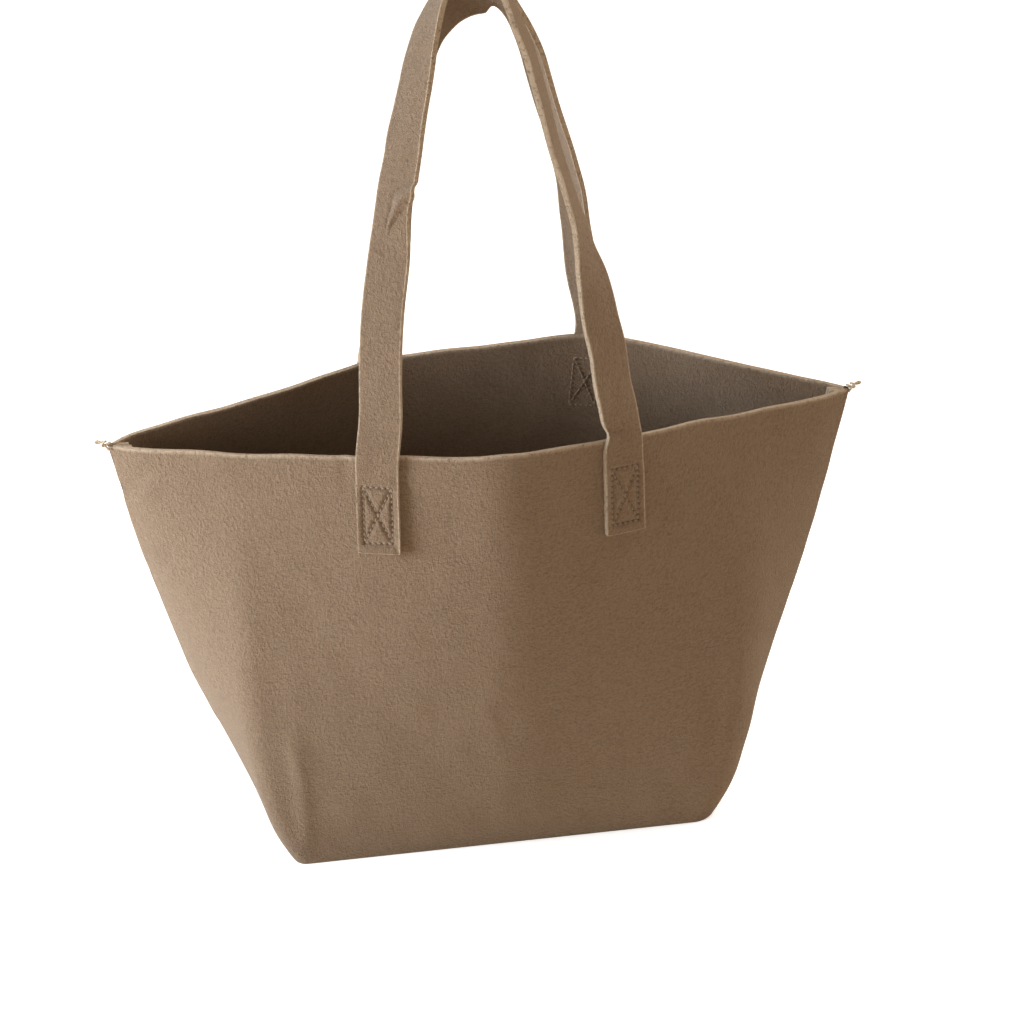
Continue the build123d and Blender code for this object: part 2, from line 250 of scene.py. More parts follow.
def felt_material(name, dark, middle, light, edge):
    """Needle-punched felt: tangled short fibres, faint clouds, paler, fuzzier cut edges that also carry a
    painted highlight, and painted shade in the needle holes.
    """
    material = bpy.data.materials.new(name)
    material.use_nodes = True
    tree = material.node_tree
    shader = tree.nodes["Principled BSDF"]
    place = tree.nodes.new("ShaderNodeTexCoord").outputs["Object"]
    clouds = noise(tree, place, 38.0, 3.0, 0.5)
    tufts = noise(tree, place, 430.0, 4.0, 0.62, 0.5)
    specks = noise(tree, place, 1150.0, 3.0, 0.65)
    fibres = []
    for turn in (0.5, 1.7, 2.6):
        line = stretched(tree, place, (turn, turn * 0.7, turn * 1.3), (1.0, 1.0, 0.14))
        fibres.append(noise(tree, line, 1300.0, 2.0, 0.6, 1.0))
    tangle = math_node(tree, "MAXIMUM", math_node(tree, "MAXIMUM", fibres[0], fibres[1]), fibres[2])
    strands = ramp(tree, tangle, 0.55, 0.80)
    colour = mix_colour(tree, ramp(tree, tufts, 0.30, 0.60), dark, middle)
    for share, strength, tone in ((strands, 0.45, light), (ramp(tree, specks, 0.52, 0.74), 0.30, light),
                                  (ramp(tree, clouds, 0.35, 0.70), 0.30, middle)):
        colour = mix_colour(tree, math_node(tree, "MULTIPLY", share, strength), colour, tone)
    # painted shade: the felt's colour turns dark in each needle hole
    hole_shade_marks = tree.nodes.new("ShaderNodeAttribute")
    hole_shade_marks.attribute_name = "needle_hole_shade"
    colour = mix_colour(tree, hole_shade_marks.outputs["Fac"], colour, tuple(c * HOLE_SHADE_TONE for c in dark))
    # cut edges: paler fuzz of their own plus a painted highlight, mixed in towards the edge colour
    pale_edge_and_highlight = tree.nodes.new("ShaderNodeAttribute")
    pale_edge_and_highlight.attribute_name = "cut_edge_and_highlight"
    paler = math_node(tree, "MULTIPLY", pale_edge_and_highlight.outputs["Fac"], ramp(tree, tufts, 0.25, 0.5))
    colour = mix_colour(tree, paler, colour, edge)
    tree.links.new(colour, shader.inputs["Base Color"])
    height = math_node(tree, "ADD", math_node(tree, "MULTIPLY", tangle, 0.55),
                       math_node(tree, "ADD", math_node(tree, "MULTIPLY", tufts, 0.9),
                                 math_node(tree, "MULTIPLY", specks, 0.35)))
    bump = node(tree, "ShaderNodeBump", Strength=1.0, Distance=0.0026)
    tree.links.new(height, bump.inputs["Height"])
    tree.links.new(bump.outputs["Normal"], shader.inputs["Normal"])
    shader.inputs["Roughness"].default_value = 0.96
    shader.inputs["Specular IOR Level"].default_value = 0.18
    shader.inputs["Sheen Weight"].default_value = 0.28
    shader.inputs["Sheen Roughness"].default_value = 0.55
    shader.inputs["Sheen Tint"].default_value = (1.0, 0.93, 0.85, 1)
    return material


def thread_material(name, tone):
    """Twisted sewing thread: fine diagonal plies along each stitch."""
    material = bpy.data.materials.new(name)
    material.use_nodes = True
    tree = material.node_tree
    shader = tree.nodes["Principled BSDF"]
    place = tree.nodes.new("ShaderNodeTexCoord").outputs["Object"]
    plies = node(tree, "ShaderNodeTexWave", Scale=650.0, Distortion=1.0, Detail=1.0)
    plies.bands_direction = "DIAGONAL"
    tree.links.new(place, plies.inputs["Vector"])
    fuzz = noise(tree, place, 2600.0, 2.0, 0.6)
    dark = tuple(c * 0.62 for c in tone)
    colour = mix_colour(tree, plies.outputs["Fac"], dark, tone)
    pale = tuple(c * 1.25 for c in tone)
    colour = mix_colour(tree, math_node(tree, "MULTIPLY", fuzz, 0.3), colour, pale)
    tree.links.new(colour, shader.inputs["Base Color"])
    bump = node(tree, "ShaderNodeBump", Strength=0.6, Distance=0.0002)
    tree.links.new(math_node(tree, "ADD", plies.outputs["Fac"], fuzz), bump.inputs["Height"])
    tree.links.new(bump.outputs["Normal"], shader.inputs["Normal"])
    shader.inputs["Roughness"].default_value = 0.7
    shader.inputs["Sheen Weight"].default_value = 0.15
    return material


# felt colours: dark, middle and light fibres, then the cut edges' paler tone, lightened further as a painted
# highlight
FELT_LOOK = felt_material("felt", (0.172, 0.108, 0.066), (0.252, 0.168, 0.107), (0.38, 0.27, 0.185),
                          (0.52, 0.40, 0.29))
THREAD_LOOK = thread_material("thread", (0.36, 0.265, 0.185))
PALE_THREAD_LOOK = thread_material("pale_thread", (0.62, 0.52, 0.40))


# ---- the bag's wall -----------------------------------------------------------------------------
def base_outline(left_radius, right_radius):
    """Half of the underside's outline, y outwards, from the left seam to the right one."""
    points = [(-BASE_HALF_X, 0.0)]
    for hand, radius in ((LEFT, left_radius), (RIGHT, right_radius)):
        arc = np.linspace(0, math.pi / 2, 12)
        x = BASE_HALF_X - radius + radius * np.cos(arc)
        y = BASE_HALF_Y - radius + radius * np.sin(arc)
        corner = list(zip(hand * x, y))
        points += corner if hand == LEFT else corner[::-1]
    return points + [(BASE_HALF_X, 0.0)]


# the mouth bends at a few soft kinks; y is outwards from the line between the two corners
MOUTH = {
    FRONT: [(-253, 0), (-237, 11), (-195, 25.5), (-93, 58.5), (-30, 76), (2, 84.5), (32, 76.5), (96, 57),
            (194, 26), (237, 11), (253, 0)],
    BACK: [(-253, 0), (-241, 14), (-205, 25), (-140, 43), (-64, 72), (0, 76), (80, 79), (128, 67),
           (180, 41), (232, 13), (253, 0)],
}
BASE_RADII = {FRONT: (10 * MM, 20 * MM), BACK: (18 * MM, 18 * MM)}
MOUTH_PASSES = {FRONT: 180, BACK: 110}            # smoothing of the mouth's kinks
BACK_PULL = 3.5 * MM              # the back rim is drawn up where its handle is sewn on


def mouth_outline(side):
    points = np.array(MOUTH[side], float) * MM
    dense = along_line(points, np.linspace(0, 1, 400))
    return smooth_steps(dense, MOUTH_PASSES[side])


def rim_height(side, x):
    """Height of the top edge at x."""
    flat = 0.0 if side == FRONT else BACK_KINK
    share = np.clip((np.abs(x) - flat) / (MOUTH_HALF - flat), 0, 1)
    height = RIM - CORNER_DROP * share
    if side == BACK:
        height = height + BACK_PULL * np.exp(-((x - STRAP_X) / (60 * MM)) ** 2)
    return height + 0.5 * MM * soft_noise(11 + side, x, x * 0, 60 * MM)


def bulge_share(t):
    return (1 - np.exp(-t / BULGE_RISE)) * (1 - t ** BULGE_FALL)


BULGE_PEAK = bulge_share(np.linspace(0, 1, 100)).max()


# dents and ridges of each panel: height outwards, x, z, width across and length up, in millimetres,
# and how far each is turned, in degrees
CREASES = {
    FRONT: [(1.5, -147, 60, 6, 55, 0), (0.8, -150, 92, 3, 12, 8), (-1.7, -100.5, 312, 2.6, 12, 0),
            (0.45, -16, 127, 7, 20, 14), (-0.45, -3, 122, 7, 20, 10),
            (-2.2, -238, 287, 4, 14, -50), (1.6, -231, 280, 5, 13, -50),
            (-0.9, 152, 88, 9, 46, -3), (2.2, 168, 125, 12, 32, 4), (-0.9, -138, 9, 4, 7, 25),
            (-0.8, -146, 12, 3, 6, -20), (-0.7, 132, 8, 5, 7, 30)],
    BACK: [(-1.8, 148, 70, 8, 55, 3), (-1.6, -150, 80, 8, 60, -4), (1.8, 20, 150, 40, 26, 25),
            (-1.4, -60, 190, 14, 55, 14), (-1.0, 101, 305, 4, 16, 0)],
}


def creases(side, x, z):
    """How far the dents and ridges of a panel move it outwards."""
    return sum(height * MM * bump_at(x, z, at_x * MM, at_z * MM, wide * MM, high * MM, tilt)
               for height, at_x, at_z, wide, high, tilt in CREASES[side])


def wall(side, u, t):
    """Outer face of a panel: u runs from the left seam to the right one, t from base to rim."""
    u, t = np.asarray(u, float), np.asarray(t, float)
    low = along_line(base_outline(*BASE_RADII[side]), u)
    high = along_line(mouth_outline(side), u)
    top = rim_height(side, high[:, 0])
    share = t[:, None]
    bulge = bulge_share(share) / BULGE_PEAK
    lean = np.cos(math.pi * u)[None]
    x = low[None, :, 0] * (1 - share) + high[None, :, 0] * share - SIDE_BULGE * bulge * lean * np.abs(lean)
    depth = FRONT_BULGE if side == FRONT else BACK_BULGE
    y = low[None, :, 1] * (1 - share) + high[None, :, 1] * share + depth * bulge * np.sin(math.pi * u)[None]
    return np.stack([x, side * y, share * top[None]], -1)


def outward(points, side):
    """Unit normals of a wall grid."""
    normal = unit(np.cross(np.gradient(points, axis=1), np.gradient(points, axis=0)))
    return normal * (1 if side == FRONT else -1)


def finished_wall(side, u, t):
    """The outer face with its creases and gentle waves, and its unit normals."""
    points = wall(side, u, t)
    normal = outward(points, side)
    x, z = points[..., 0], points[..., 2]
    wide_waves = 0.9 * MM * soft_noise(21 + side, x, z, 150 * MM)
    small_waves = 0.25 * MM * soft_noise(31 + side, x, z, 38 * MM)
    hold = np.clip(z / (20 * MM), 0, 1) * np.clip((BASE_HALF_X * 2 - np.abs(x)) / (60 * MM), 0, 1)
    calm = 1 - 0.8 * bump_at(np.abs(x), z, STRAP_X, 285 * MM, 24 * MM, 48 * MM)
    moved = (creases(side, x, z) + (wide_waves + small_waves)) * hold * calm
    points = points + normal * moved[..., None]
    return points, outward(points, side)


PANEL_U = np.linspace(0, 1, 190)
PANEL_T = np.concatenate([np.linspace(0, 0.06, 8)[:-1], np.linspace(0.06, 1, 112)])
WALLS = {side: finished_wall(side, PANEL_U, PANEL_T) for side in (FRONT, BACK)}


def wall_at(side, x, z):
    """Point and normal of a wall's outer face at x and z, by interpolation along its grid."""
    points, normals = WALLS[side]
    rows = points[..., 2].mean(1)
    row = int(np.clip(np.searchsorted(rows, z), 1, len(rows) - 1))
    share = np.clip((z - rows[row - 1]) / (rows[row] - rows[row - 1]), 0, 1)
    line = points[row - 1] * (1 - share) + points[row] * share
    facing = normals[row - 1] * (1 - share) + normals[row] * share
    order = np.argsort(line[:, 0])
    y = np.interp(x, line[order, 0], line[order, 1])
    n = np.array([np.interp(x, line[order, 0], facing[order, k]) for k in range(3)])
    return np.array([x, y, z]), unit(n)


def felt_sheet(name, outer, inner, edges):
    """Closed felt sheet between two matching grids of points; edges marks the cut borders."""
    rows, columns = outer.shape[:2]
    count = rows * columns
    vertices = np.concatenate([outer.reshape(-1, 3), inner.reshape(-1, 3)])
    faces = [grid_faces(rows, columns), grid_faces(rows, columns, count, flip=True)]
    index = np.arange(count).reshape(rows, columns)
    for border in (index[0], index[-1][::-1], index[::-1, 0], index[:, -1]):
        faces.append(np.stack([border[:-1], border[:-1] + count, border[1:] + count, border[1:]], -1))
    piece = mesh_piece(name, vertices, np.concatenate(faces), FELT_LOOK)
    mark(piece, "cut_edge_and_highlight", np.concatenate([edges.ravel(), edges.ravel()]))
    return piece


def soften(piece, width, segments=3, angle=38):
    """Rounds the cut edges and folds of a piece."""
    bevel = piece.modifiers.new("soft_edges", "BEVEL")
    bevel.width = width
    bevel.segments = segments
    bevel.limit_method = "ANGLE"
    bevel.angle_limit = math.radians(angle)
    return piece


def allowance_rows(side, hand):
    """Outer and inner points of the felt turned inside at one seam, from the fold inwards."""
    outer, normals = WALLS[side]
    column = 0 if hand == LEFT else -1
    fold = outer[:, column]
    blunt = np.clip(np.abs(normals[:, column, 0]), BLUNTEST, 1.0)
    faces, backs = [], []
    for share in (0.25, 0.6, 1.0):
        face = fold.copy()
        face[:, 0] -= hand * (FELT / blunt + ALLOWANCE) * share
        face[:, 1] = side * FOLD_GAP
        back = face.copy()
        back[:, 1] = side * PRESSED_FELT
        faces.append(face)
        backs.append(back)
    return faces, backs


def felt_panel(side):
    """One felt sheet wrapped half round the bag, its edges turned inside at both side seams."""
    outer, normals = WALLS[side]
    inner = outer - normals * FELT
    folds = {}
    for hand, column in ((LEFT, 0), (RIGHT, -1)):
        blunt = np.clip(np.abs(normals[:, column, 0]), BLUNTEST, 1.0)
        inner[:, column] = outer[:, column]
        inner[:, column, 0] -= hand * FELT / blunt * 1.35
        inner[:, column, 1] = side * PRESSED_FELT
        start = inner[:, column, 0]
        faces, backs = allowance_rows(side, hand)
        for k, back in enumerate(backs):
            x = start + (back[:, 0] - start) * (k + 1) / len(backs)
            back[:, 0] = np.where(hand * (start - x) < 0, start, x)
        folds[hand] = faces, backs
    all_outer = np.stack([*folds[LEFT][0][::-1], *outer.transpose(1, 0, 2), *folds[RIGHT][0]], 1)
    all_inner = np.stack([*folds[LEFT][1][::-1], *inner.transpose(1, 0, 2), *folds[RIGHT][1]], 1)
    # the rim and both side borders take the paler cut-edge tone with its painted highlight
    edges = np.zeros(all_outer.shape[:2])
    edges[-1] = 1.0
    edges[:, 0] = edges[:, -1] = 1.0
    if side == BACK:
        all_outer, all_inner = all_outer[:, ::-1], all_inner[:, ::-1]
    return soften(felt_sheet(f"{PLACE[side]}_felt_panel", all_outer, all_inner, edges), 0.9 * MM)


def base_sheet():
    """Felt base whose edge is turned up inside the panels."""
    rings = []
    step_in = FELT + BASE_GAP
    for z in np.linspace(BASE_EDGE, 3.4 * MM, 6):
        rings.append(base_ring(z, step_in))
    rings.append(base_ring(1.4 * MM, step_in + 0.5 * MM))
    rings.append(base_ring(0.3 * MM, step_in + 2.0 * MM))
    outer_rings = list(rings)
    last = rings[-1]
    for share in np.linspace(0.95, 0.04, 26):
        ring = last.copy()
        ring[:, :2] *= share
        ring[:, 2] = 0.3 * MM + 0.5 * MM * (1 - share)
        outer_rings.append(ring)
    outer = np.stack(outer_rings)
    normal = unit(np.cross(np.gradient(outer, axis=1), np.gradient(outer, axis=0)))
    inner = outer + normal * FELT * (1 if normal[-3, 5, 2] > 0 else -1)
    rows, columns = outer.shape[:2]
    count = rows * columns
    vertices = np.concatenate([outer.reshape(-1, 3), inner.reshape(-1, 3)])
    wrap = np.arange(columns)
    after = (wrap + 1) % columns
    faces = []
    for r in range(rows - 1):
        for layer in (0, count):
            a, b = layer + r * columns, layer + (r + 1) * columns
            quad = np.stack([a + wrap, b + wrap, b + after, a + after], -1)
            faces.append(quad if layer else quad[:, ::-1])
    for r, flip in ((0, False), (rows - 1, True)):
        quad = np.stack([r * columns + wrap, count + r * columns + wrap, count + r * columns + after,
                         r * columns + after], -1)
        faces.append(quad[:, ::-1] if flip else quad)
    piece = mesh_piece("base_felt_sheet", vertices, np.concatenate(faces), FELT_LOOK)
    close_middle(piece, (rows - 1) * columns, columns, count)
    # the base sheet's top border takes the paler cut-edge tone with its painted highlight
    values = np.zeros(len(vertices))
    values[:columns] = values[count:count + columns] = 1.0
    mark(piece, "cut_edge_and_highlight", values)
    return soften(piece, 0.8 * MM)


def base_ring(z, inset):
    """Closed ring that lies inset inside both walls at height z."""
    halves = []
    for side in (FRONT, BACK):
        points, _ = WALLS[side]
        t = np.clip(z / points[:, len(PANEL_U) // 2, 2].max(), 0, 1)
        row = wall(side, PANEL_U, np.array([t, t + 0.01]))
        n = outward(row, side)[0]
        n[:, 2] = 0
        line = row[0] - unit(n) * inset
        line[:, 2] = z
        halves.append(line[1:-1] if side == FRONT else line[1:-1][::-1])
    return np.concatenate(halves)


def close_middle(piece, start, columns, count):
    """Removes the strip round the small hole in the middle and closes both faces there."""
    mesh = bmesh.new()
    mesh.from_mesh(piece.data)
    mesh.verts.ensure_lookup_table()
    low = [mesh.verts[start + k] for k in range(columns)]
    high = [mesh.verts[count + start + k] for k in range(columns)]
    near, around = set(low), set(low + high)
    strip = [f for f in mesh.faces if around.issuperset(f.verts) and len(near.intersection(f.verts)) == 2]
    bmesh.ops.delete(mesh, geom=strip, context="FACES_ONLY")
    mesh.faces.new(low)
    mesh.faces.new(high[::-1])
    bmesh.ops.recalc_face_normals(mesh, faces=mesh.faces)
    mesh.to_mesh(piece.data)
    mesh.free()


# ---- strap handles ------------------------------------------------------------------------------
# each leg of a loop from the rim up: x, height above the rim corner line, and where its face looks,
# in degrees from straight outwards towards the nearer end of the bag
LEGS = {
    (FRONT, LEFT): [(-79.5, 322, 17), (-76, 345, 22), (-72, 395, 28), (-67.5, 420, 30), (-63, 443, 31),
                    (-59, 466, 40), (-54, 489, 44), (-49, 511, 48), (-45, 523, 52), (-38, 550, 57),
                    (-31, 572, 66), (-24, 588, 79), (-13, 603, 88)],
    (FRONT, RIGHT): [(79.5, 322, 16), (77.5, 340, 26), (72, 380, 28), (69.5, 392, 29), (66.5, 410, 33),
                     (64, 424, 41), (60.5, 440, 58), (57, 458, 68), (50, 482, 72), (44.5, 500, 71),
                     (38, 529, 70), (31, 557, 71), (24.5, 574, 72), (19.5, 587, 76), (11, 602, 86)],
    (BACK, LEFT): [(-69, 322, 12), (-65.5, 338, 10), (-61.5, 368, 14), (-57, 400, 24), (-53, 430, 34),
                   (-48, 460, 43), (-44, 487, 50), (-41, 505, 52), (-36, 530, 52), (-25, 558, 50),
                   (-13, 574, 46)],
    (BACK, RIGHT): [(86.5, 322, 14), (88, 338, 32), (83.5, 357, 42), (77, 381, 46), (74.5, 397, 54),
                    (72.5, 413, 58), (69, 436, 60), (67, 452, 62), (61, 473, 66), (50, 508, 66),
                    (40, 543, 67), (31, 565, 71), (20, 580, 76)],
}
APEX = {FRONT: 610.0, BACK: 582.0}
APEX_TILT = {FRONT: 0.0, BACK: 48.0}
LEAN = {FRONT: 17.5, BACK: 6.0}
LEAN_START = 7 * MM
FOOT_Y = {FRONT: 65.0 * MM, BACK: 76.0 * MM}
FOOT_TOP = 318 * MM               # a strap follows its panel up to here
STRAP_STEP = 0.8 * MM             # between the points of a strap's middle line
LINE_PASSES = 95                  # smoothing of a strap's middle line
LOOK_PASSES = {FRONT: 95, BACK: 450}              # and of the way it faces
JOIN_PASSES = 18                  # and of the line again, where the sewn end meets the loop


def leg_y(side, z):
    """The loops stand upright past the rim and then lean inwards over the bag."""
    foot = side * FOOT_Y[side]
    start = RIM - CORNER_DROP * (STRAP_X / MOUTH_HALF) + LEAN_START
    return foot - side * np.maximum(z - start, 0) * math.tan(math.radians(LEAN[side]))


# distance of each sewn end from the centre at its cut end, and how far it drifts up to the rim
END_X = {(FRONT, LEFT): 81.3, (FRONT, RIGHT): 81.3, (BACK, LEFT): 72.0, (BACK, RIGHT): 78.0}
END_DRIFT = {(FRONT, LEFT): -2.0, (FRONT, RIGHT): -1.5, (BACK, LEFT): -2.0, (BACK, RIGHT): 5.0}
END_LIFT = {FRONT: 0.0, BACK: 10 * MM}         # the back handle is sewn a little nearer to the rim


def strap_line(side):
    """Middle line of one whole strap, with its directions and its distance from the left cut end."""
    points, facing = [], []
    for hand in (LEFT, RIGHT):
        leg, look = [], []
        for z in np.linspace(END_BOTTOM + END_LIFT[side], FOOT_TOP, 24):
            share = (z - END_BOTTOM) / (62 * MM)
            x = hand * (END_X[(side, hand)] + END_DRIFT[(side, hand)] * share) * MM
            here, normal = wall_at(side, x, z)
            leg.append(here + normal * (STRAP_THICK / 2 + FOLD_GAP))
            look.append(normal)
        for x, z, turn in LEGS[(side, hand)]:
            angle = math.radians(turn)
            leg.append((x * MM, leg_y(side, z * MM), z * MM))
            look.append((hand * math.sin(angle), side * math.cos(angle), 0))
        order = slice(None) if hand == LEFT else slice(None, None, -1)
        points += list(np.array(leg)[order])
        facing += list(np.array(look)[order])
        if hand == LEFT:
            z = APEX[side] * MM
            tilt = math.radians(APEX_TILT[side])
            points.append((0.0, leg_y(side, z), z))
            facing.append((0.0, math.sin(tilt), math.cos(tilt)))
    points, facing = np.array(points), np.array(facing)
    steps = np.concatenate([[0], np.cumsum(np.linalg.norm(np.diff(points, axis=0), axis=1))])
    count = int(steps[-1] / STRAP_STEP) + 1
    at = np.linspace(0, steps[-1], count)
    line = np.stack([np.interp(at, steps, points[:, k]) for k in range(3)], 1)
    look = np.stack([np.interp(at, steps, facing[:, k]) for k in range(3)], 1)
    near_end = np.minimum(at, at[-1] - at) / MM
    free = np.clip((near_end - 52) / 20, 0, 1)[:, None]
    line = smooth_steps(line * (1 - free) + smooth_steps(line, LINE_PASSES) * free, JOIN_PASSES)
    look = unit(look * (1 - free) + smooth_steps(look, LOOK_PASSES[side]) * free)
    along = unit(np.gradient(line, axis=0))
    normal = unit(look - along * (look * along).sum(1, keepdims=True))
    across = unit(np.cross(along, normal))
    return line, along, normal, across, at


STRAPS = {side: strap_line(side) for side in (FRONT, BACK)}


def groove(a, b):
    """Depth of the felt drawn down beside the stitched box and its cross, from 0 to 1.

    a runs across the strap and b along it, both from the middle of the box."""
    inside_b = np.clip(1 - (np.abs(b) - BOX_HALF) / (1.5 * MM), 0, 1)
    inside_a = np.clip(1 - (np.abs(a) - STITCH_HALF) / (1.5 * MM), 0, 1)
    sides = np.exp(-((np.abs(a) - STITCH_HALF) / (1.6 * MM)) ** 2) * inside_b
    ends = np.exp(-((np.abs(b) - BOX_HALF) / (1.6 * MM)) ** 2) * inside_a
    slope = BOX_HALF / STITCH_HALF
    off_cross = np.abs(np.abs(b) - slope * np.abs(a)) / math.hypot(1, slope)
    cross = np.exp(-(off_cross / (1.7 * MM)) ** 2) * inside_a * inside_b
    return np.maximum(np.maximum(sides, ends), cross)


def strap_rise(side, at, a):
    """How far the strap's outer face stands above a flat strap.

    The felt is drawn down along the stitches, stands up in soft pads between them, and flares at the
    edges outside the box."""
    a = a[None]
    near = np.minimum(at, at[-1] - at)[:, None]
    drawn = groove(a, at[:, None] - BOX_MIDDLE) + groove(a, (at[-1] - at)[:, None] - BOX_MIDDLE)
    past_box = np.abs(a) - STITCH_HALF
    sewn = np.clip((52 * MM - near) / (4 * MM), 0, 1) * np.clip(1 - past_box / (3 * MM), 0, 1)
    pads = 0.45 * MM * sewn * (1 - drawn)
    beside = np.clip(past_box / (STRAP_HALF - STITCH_HALF), 0, 1)
    below = np.clip(1 - near / (STITCH_LOW - END_BOTTOM), 0, 1)
    flare = 1.0 * MM * np.maximum(beside, below) * np.clip((50 * MM - near) / (6 * MM), 0, 1)
    waves = 0.22 * MM * soft_noise(41 + side, at[:, None], a * 1.5, 26 * MM)
    return pads + flare - 0.7 * MM * drawn + waves * (1 - sewn)


def strap_wander(side, at):
    """Small sideways bends of the free strap, in metres."""
    free = np.clip((np.minimum(at, at[-1] - at) - 70 * MM) / (30 * MM), 0, 1)
    return 0.5 * MM * soft_noise(51 + side, at, at * 0, 45 * MM) * free


CUP = 0.012                       # how much a free strap cups across, as a share of its width
HOLE_DEPTH = 0.5 * MM
HOLE_SIZE = 0.72 * MM
EDGE_PALE_AND_HIGHLIGHT = 0.7                   # how much of the cut edge's pale fuzz and painted highlight shows just beside it


def strap_handle(side):
    """One felt strap from sewn end to sewn end."""
    line, _, normal, across, at = STRAPS[side]
    a = np.linspace(-STRAP_HALF, STRAP_HALF, 43)
    near = np.minimum(at, at[-1] - at)[:, None]
    sideways = a[None] + strap_wander(side, at)[:, None] + edge_pinch(side, at, a)
    middle = line[:, None] + across[:, None] * sideways[..., None]
    cup = -CUP * (a / STRAP_HALF) ** 2 * STRAP_WIDTH * np.clip((near - 70 * MM) / (40 * MM), 0, 1)
    shift = cup + strap_folds(side, at, a)
    holes = needle_holes(at, a)
    rise = strap_rise(side, at, a) - HOLE_DEPTH * holes
    outer = middle + normal[:, None] * (STRAP_THICK / 2 + rise + shift)[..., None]
    press = np.clip((50 * MM - near) / (4 * MM), 0, 1)
    inner = middle - normal[:, None] * (STRAP_THICK / 2 - shift * (1 - press))[..., None]
    # the cut borders, and partly the rows beside them, take the paler cut-edge tone with its painted
    # highlight
    edges = np.zeros(outer.shape[:2])
    edges[:, 1] = edges[:, -2] = EDGE_PALE_AND_HIGHLIGHT
    edges[0] = edges[-1] = edges[:, 0] = edges[:, -1] = 1.0
    piece = felt_sheet(f"{PLACE[side]}_strap", outer[:, ::-1], inner[:, ::-1], edges)
    # painted shade in the needle holes, on the outer face only, for the felt's material to darken
    hole_shade_marks = holes[:, ::-1].ravel()
    mark(piece, "needle_hole_shade", np.concatenate([hole_shade_marks, hole_shade_marks * 0]))
    return soften(piece, 0.7 * MM)


def needle_holes(at, a):
    """Where the needle went through both sewn ends: 1 in a hole, 0 away from them."""
    holes = np.zeros((len(at), len(a)))
    near = np.flatnonzero(np.minimum(at, at[-1] - at) < 60 * MM)
    for start, _ in box_rows():
        for s in (BOX_MIDDLE + start[1], at[-1] - BOX_MIDDLE - start[1]):
            squared = (at[near, None] - s) ** 2 + (a[None] - start[0]) ** 2
            holes[near] = np.maximum(holes[near], np.exp(-squared / HOLE_SIZE ** 2))
    return holes


def strap_folds(side, at, a):
    """The creases that handling leaves in the free strap, in metres along its normal.

    The front strap has a short slanted crease on its left leg and a kink at the rim on its right one."""
    s = at[:, None] / MM
    w = a[None] / MM
    if side == BACK:
        return 1.2 * MM * bump_at(w, s, 6, 210, 9, 16, 30)
    valley = np.interp(s, [205, 218, 226, 234, 240, 244, 250], [-3.5, -3, -1.6, -0.5, 6, 13, 20])
    reach = np.exp(-np.maximum(np.abs(s - 228) - 12, 0) ** 2 / 18)
    lens = np.clip((s - 208) / 24, 0.15, 1)
    dent = 0.9 * np.exp(-((w - valley) / 1.3) ** 2) * reach
    ridge = 2.3 * np.exp(-((w - valley - 8.5 * lens) / (5.0 * lens)) ** 2) * reach
    past_rim = at[-1] / MM - s - 71 - 0.4 * w
    kink = 1.5 * np.exp(-(past_rim / 3.2) ** 2) * np.clip((w + 8) / 16, 0, 1)
    return (ridge - dent - kink) * MM


def edge_pinch(side, at, a):
    """How far the crease and the kink draw the front strap's near edge in, in metres across it."""
    if side == BACK:
        return 0
    s = at[:, None] / MM
    at_crease = np.exp(-((s - 227) / np.where(s > 227, 6, 20)) ** 2)
    at_rim = np.exp(-((at[-1] / MM - s - 73) / 7) ** 2)
    return -MM * np.clip(a[None] / STRAP_HALF, 0, 1) * (2.6 * at_crease + 4.4 * at_rim)


# ---- thread -------------------------------------------------------------------------------------
def stitch_tubes(name, stitches, look, radius):
    """Arched stitches in one mesh. Each is (start, end, way out of the felt)."""
    stations, around = 7, 8
    vertices, faces = [], []
    for start, end, out in stitches:
        start, end, out = np.array(start), np.array(end), np.array(out)
        way = unit(end - start)
        beside = unit(np.cross(way, out))
        first = len(vertices)
        for k in range(stations):
            share = k / (stations - 1)
            arch = math.sin(math.pi * share)
            centre = start + (end - start) * share + out * (arch * 1.5 - 0.9) * radius
            size = radius * (0.55 + 0.45 * math.sin(math.pi * min(max(share, 0.12), 0.88)))
            for j in range(around):
                angle = 2 * math.pi * j / around
                vertices.append(centre + (beside * math.cos(angle) + out * math.sin(angle)) * size)
        for k in range(stations - 1):
            for j in range(around):
                p, q = first + k * around, first + (k + 1) * around
                faces.append((p + j, p + (j + 1) % around, q + (j + 1) % around, q + j))
        for cap, flip in ((first, True), (first + (stations - 1) * around, False)):
            ring = [cap + j for j in range(around)]
            fan_centre = len(vertices)
            vertices.append(np.mean([vertices[i] for i in ring], axis=0))
            for j in range(around):
                tri = (ring[j], ring[(j + 1) % around], fan_centre)
                faces.append(tri[::-1] if flip else tri)
    return mesh_piece(name, vertices, faces, look)


def row_of_stitches(a, b):
    """Start and end shares of the stitches that fill a straight row between two points."""
    a, b = np.array(a, float), np.array(b, float)
    count = max(int(round(np.linalg.norm(b - a) / STITCH_PITCH)), 1)
    for k in range(count):
        yield a + (b - a) * (k + 0.08) / count, a + (b - a) * (k + 0.92) / count


def box_rows():
    """All stitches of one box and its cross, across and along the strap from the box's middle."""
    w = STITCH_HALF
    corners = [(-w, -BOX_HALF), (w, -BOX_HALF), (w, BOX_HALF), (-w, BOX_HALF)]
    for a, b in zip(corners, corners[1:] + corners[:1]):
        yield from row_of_stitches(a, b)
    for a, b in ((corners[0], corners[2]), (corners[1], corners[3])):
        yield from row_of_stitches(a, b)


